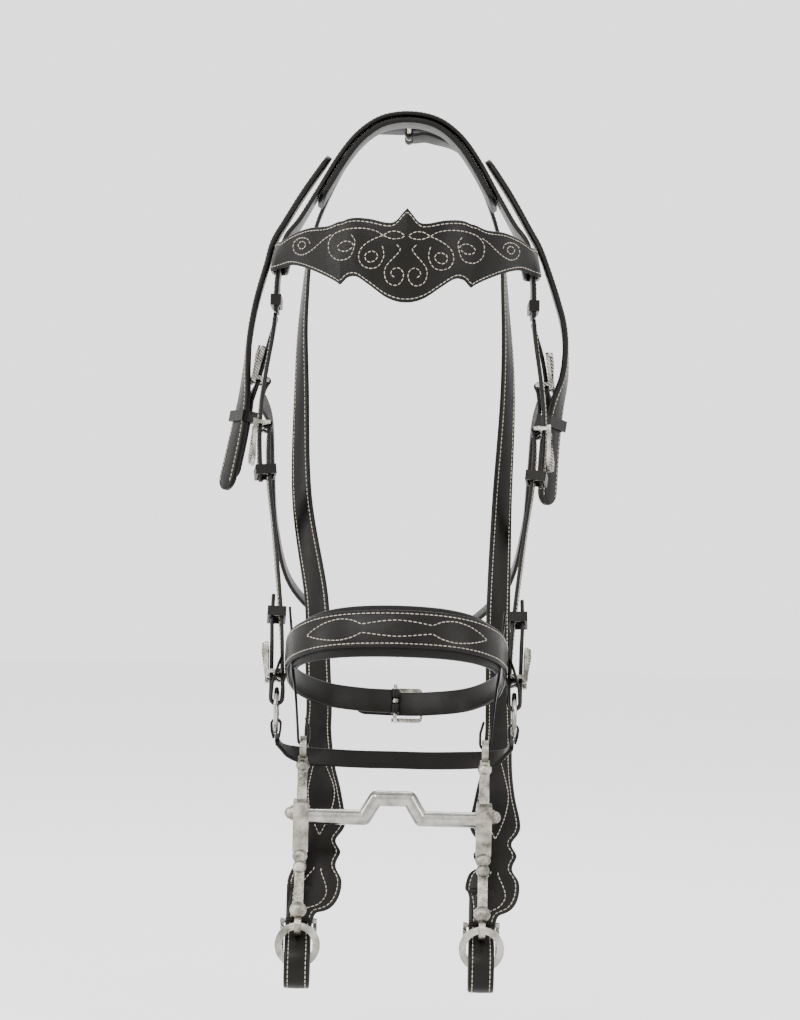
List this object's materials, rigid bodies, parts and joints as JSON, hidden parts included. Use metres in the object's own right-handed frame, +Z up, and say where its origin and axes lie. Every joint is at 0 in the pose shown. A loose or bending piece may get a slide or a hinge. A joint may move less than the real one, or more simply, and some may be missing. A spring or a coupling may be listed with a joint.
{
  "type": "horse bridle",
  "caption": "Black leather horse bridle in its worn shape, with a shaped stitched browband, padded noseband, curb bit and scalloped reins.",
  "frame": {"origin": "underside of the crownpiece's padding at its centre, where the bridle rests on the poll", "axes": "+Z up, -Y forward over the horse's nose, +X to the near side"},
  "size_m": [0.2875, 0.3591, 0.7071],
  "materials": {
    "strap_leather": "satin, with off-white stitching",
    "padding_leather": "soft padded leather",
    "lining_leather": "matt lining leather",
    "nickel": "nickel plated, engraved",
    "bit_steel": "cast and polished",
    "mouth_steel": "polished"
  },
  "bodies": {
    "bit": {"bit_bosses": "bit_steel", "mouthpiece": "mouth_steel", "shank_near": "bit_steel", "shank_off": "bit_steel"},
    "headstall": {"bit_strap_near": "strap_leather", "bit_strap_off": "strap_leather", "browband": "strap_leather", "browband_lining": "lining_leather", "cheek_billet_near": "strap_leather", "cheek_billet_off": "strap_leather", "cheek_buckle_near": "nickel", "cheek_buckle_off": "nickel", "cheekpiece_near": "strap_leather", "cheekpiece_off": "strap_leather", "chin_loop_near": "strap_leather", "chin_loop_off": "strap_leather", "chin_strap": "strap_leather", "crown_padding": "padding_leather", "crown_strap_near": "strap_leather", "crown_strap_off": "strap_leather", "crownpiece": "strap_leather", "jaw_billet": "strap_leather", "jaw_buckle": "nickel", "jaw_strap": "strap_leather", "keepers_near": "strap_leather", "keepers_off": "strap_leather", "nosepiece": "strap_leather", "nosepiece_padding": "padding_leather", "ring_buckle_near": "nickel", "ring_buckle_off": "nickel", "ring_tab_near": "strap_leather", "ring_tab_off": "strap_leather", "throat_billet_near": "strap_leather", "throat_billet_off": "strap_leather", "throat_buckle_near": "nickel", "throat_buckle_off": "nickel", "throatlatch": "strap_leather"},
    "cheek_tongue_near": {"cheek_tongue_near": "nickel"},
    "cheek_tongue_off": {"cheek_tongue_off": "nickel"},
    "jaw_tongue": {"jaw_tongue": "nickel"},
    "noseband_ring_near": {"noseband_ring_near": "nickel"},
    "noseband_ring_off": {"noseband_ring_off": "nickel"},
    "reins": {"rein_buckle_near": "nickel", "rein_buckle_off": "nickel", "rein_join_buckle": "nickel", "rein_near": "strap_leather", "rein_off": "strap_leather"},
    "rein_join_tongue": {"rein_join_tongue": "nickel"},
    "rein_ring_near": {"rein_ring_near": "nickel"},
    "rein_ring_off": {"rein_ring_off": "nickel"},
    "rein_tongue_near": {"rein_tongue_near": "nickel"},
    "rein_tongue_off": {"rein_tongue_off": "nickel"},
    "ring_tongue_near": {"ring_tongue_near": "nickel"},
    "ring_tongue_off": {"ring_tongue_off": "nickel"},
    "throat_tongue_near": {"throat_tongue_near": "nickel"},
    "throat_tongue_off": {"throat_tongue_off": "nickel"}
  },
  "joints": [
    {"name": "cheek_tongue_near_hinge", "type": "hinge", "parent": "headstall", "child": "cheek_tongue_near", "pos_m": [0.10848, -0.07349, -0.25425], "axis": [-0.0917, -0.9456, 0.3121], "range_deg": [0, 50]},
    {"name": "cheek_tongue_off_hinge", "type": "hinge", "parent": "headstall", "child": "cheek_tongue_off", "pos_m": [-0.10848, -0.07349, -0.25425], "axis": [-0.0917, 0.9456, -0.3121], "range_deg": [0, 50]},
    {"name": "ring_tongue_near_hinge", "type": "hinge", "parent": "headstall", "child": "ring_tongue_near", "pos_m": [0.091, -0.15196, -0.4509], "axis": [0, 0.9307, -0.3657], "range_deg": [0, 50]},
    {"name": "ring_tongue_off_hinge", "type": "hinge", "parent": "headstall", "child": "ring_tongue_off", "pos_m": [-0.091, -0.15196, -0.4509], "axis": [0, -0.9307, 0.3657], "range_deg": [0, 50]},
    {"name": "throat_tongue_near_hinge", "type": "hinge", "parent": "headstall", "child": "throat_tongue_near", "pos_m": [0.11147, -0.03447, -0.21652], "axis": [0.146, 0.9706, -0.1912], "range_deg": [0, 15]},
    {"name": "throat_tongue_off_hinge", "type": "hinge", "parent": "headstall", "child": "throat_tongue_off", "pos_m": [-0.1126, -0.03446, -0.21733], "axis": [0.169, -0.9715, 0.1662], "range_deg": [0, 8]},
    {"name": "jaw_tongue_hinge", "type": "hinge", "parent": "headstall", "child": "jaw_tongue", "pos_m": [0, -0.06147, -0.47463], "axis": [0, 0.3502, 0.9367], "range_deg": [0, 50]},
    {"name": "rein_tongue_near_hinge", "type": "hinge", "parent": "reins", "child": "rein_tongue_near", "pos_m": [0.071, -0.18115, -0.63938], "axis": [1, 0, 0], "range_deg": [0, 50]},
    {"name": "rein_tongue_off_hinge", "type": "hinge", "parent": "reins", "child": "rein_tongue_off", "pos_m": [-0.071, -0.18115, -0.63938], "axis": [1, 0, 0], "range_deg": [0, 50]},
    {"name": "rein_join_tongue_hinge", "type": "hinge", "parent": "reins", "child": "rein_join_tongue", "pos_m": [0, 0.09435, 0.00161], "axis": [0, 0.9684, -0.2496], "range_deg": [0, 50]},
    {"name": "noseband_ring_spin_near", "type": "hinge", "parent": "headstall", "child": "noseband_ring_near", "pos_m": [0.0927, -0.163, -0.4775], "axis": [1, 0, 0], "continuous": true},
    {"name": "noseband_ring_spin_off", "type": "hinge", "parent": "headstall", "child": "noseband_ring_off", "pos_m": [-0.0927, -0.163, -0.4775], "axis": [1, 0, 0], "continuous": true},
    {"name": "bit_swing", "type": "hinge", "parent": "headstall", "child": "bit", "pos_m": [0, -0.163, -0.506], "axis": [1, 0, 0], "range_deg": [0, 8]},
    {"name": "reins_swing", "type": "hinge", "parent": "headstall", "child": "reins", "pos_m": [0, -0.04451, -0.005], "axis": [1, 0, 0], "range_deg": [0, 1.7]},
    {"name": "rein_ring_swing_near", "type": "hinge", "parent": "bit", "child": "rein_ring_near", "pos_m": [0.071, -0.195, -0.6413], "axis": [1, 0, 0], "range_deg": [-6.3, 0]},
    {"name": "rein_ring_swing_off", "type": "hinge", "parent": "bit", "child": "rein_ring_off", "pos_m": [-0.071, -0.195, -0.6413], "axis": [1, 0, 0], "range_deg": [-6.3, 0]}
  ],
  "couplings": [
    {"joint": "reins_swing", "follows": "bit_swing", "ratio": 0.2126},
    {"joint": "rein_ring_swing_near", "follows": "bit_swing", "ratio": -0.7874},
    {"joint": "rein_ring_swing_off", "follows": "bit_swing", "ratio": -0.7874}
  ]
}
